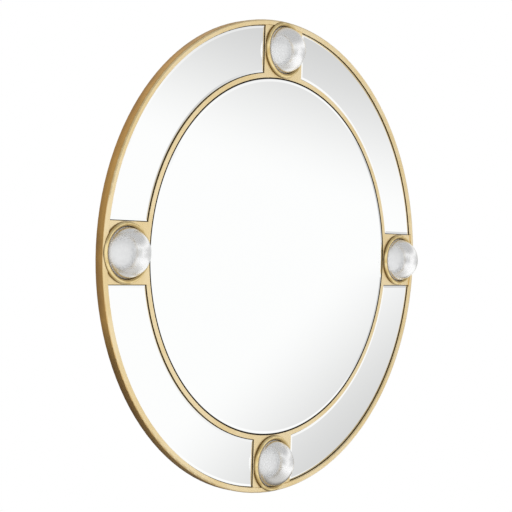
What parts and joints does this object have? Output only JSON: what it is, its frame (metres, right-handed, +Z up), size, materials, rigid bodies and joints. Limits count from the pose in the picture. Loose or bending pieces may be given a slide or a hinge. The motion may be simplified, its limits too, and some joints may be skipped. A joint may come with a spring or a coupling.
{
  "type": "round wall mirror",
  "caption": "Round wall mirror with a slim gold frame, a bevelled centre mirror, curved mirror segments around it and clear crystal domes in raised gold bezels.",
  "frame": {"origin": "on the wall behind the middle of the round mirror, in the plane that the four rubber bumpers touch", "axes": "+Y into the wall, so the mirror faces -Y; +Z up; +X to the right as one faces the mirror"},
  "size_m": [1.016, 0.07, 1.016],
  "materials": {
    "brushed_gold": "satin champagne gold",
    "polished_gold": "polished gold",
    "mirror_glass": "silvered, polished bevels",
    "crystal": "polished clear crystal",
    "silvered_foil": "satin silver",
    "fibreboard": "bare medium-density fibreboard",
    "mounting_tape": "foam tape",
    "zinc_steel": "bright zinc plate",
    "bumper_rubber": "matte black rubber"
  },
  "bodies": {
    "mirror": {"front_frame": "brushed_gold", "backing_board": "fibreboard", "centre_mirror": "mirror_glass", "centre_mirror_tape": "mounting_tape", "segment_mirror_tape": "mounting_tape", "backing_screws": "zinc_steel", "hanger_screws": "zinc_steel", "wall_bumpers": "bumper_rubber", "segment_mirror_upper_right": "mirror_glass", "segment_mirror_lower_right": "mirror_glass", "segment_mirror_lower_left": "mirror_glass", "segment_mirror_upper_left": "mirror_glass", "bezel_top": "polished_gold", "crystal_dome_top": "crystal", "dome_backing_top": "silvered_foil", "bezel_right": "polished_gold", "crystal_dome_right": "crystal", "dome_backing_right": "silvered_foil", "bezel_bottom": "polished_gold", "crystal_dome_bottom": "crystal", "dome_backing_bottom": "silvered_foil", "bezel_left": "polished_gold", "crystal_dome_left": "crystal", "dome_backing_left": "silvered_foil", "hanger_strap_left": "zinc_steel", "hanger_strap_right": "zinc_steel"},
    "ring_left": {"hanger_ring_left": "zinc_steel"},
    "ring_right": {"hanger_ring_right": "zinc_steel"}
  },
  "joints": [
    {"name": "ring_swing_left", "type": "hinge", "parent": "mirror", "child": "ring_left", "pos_m": [-0.29889, -0.00345, 0.29889], "axis": [1, 0, 0], "range_deg": [0, 180]},
    {"name": "ring_swing_right", "type": "hinge", "parent": "mirror", "child": "ring_right", "pos_m": [0.29889, -0.00345, 0.29889], "axis": [1, 0, 0], "range_deg": [0, 180]}
  ]
}
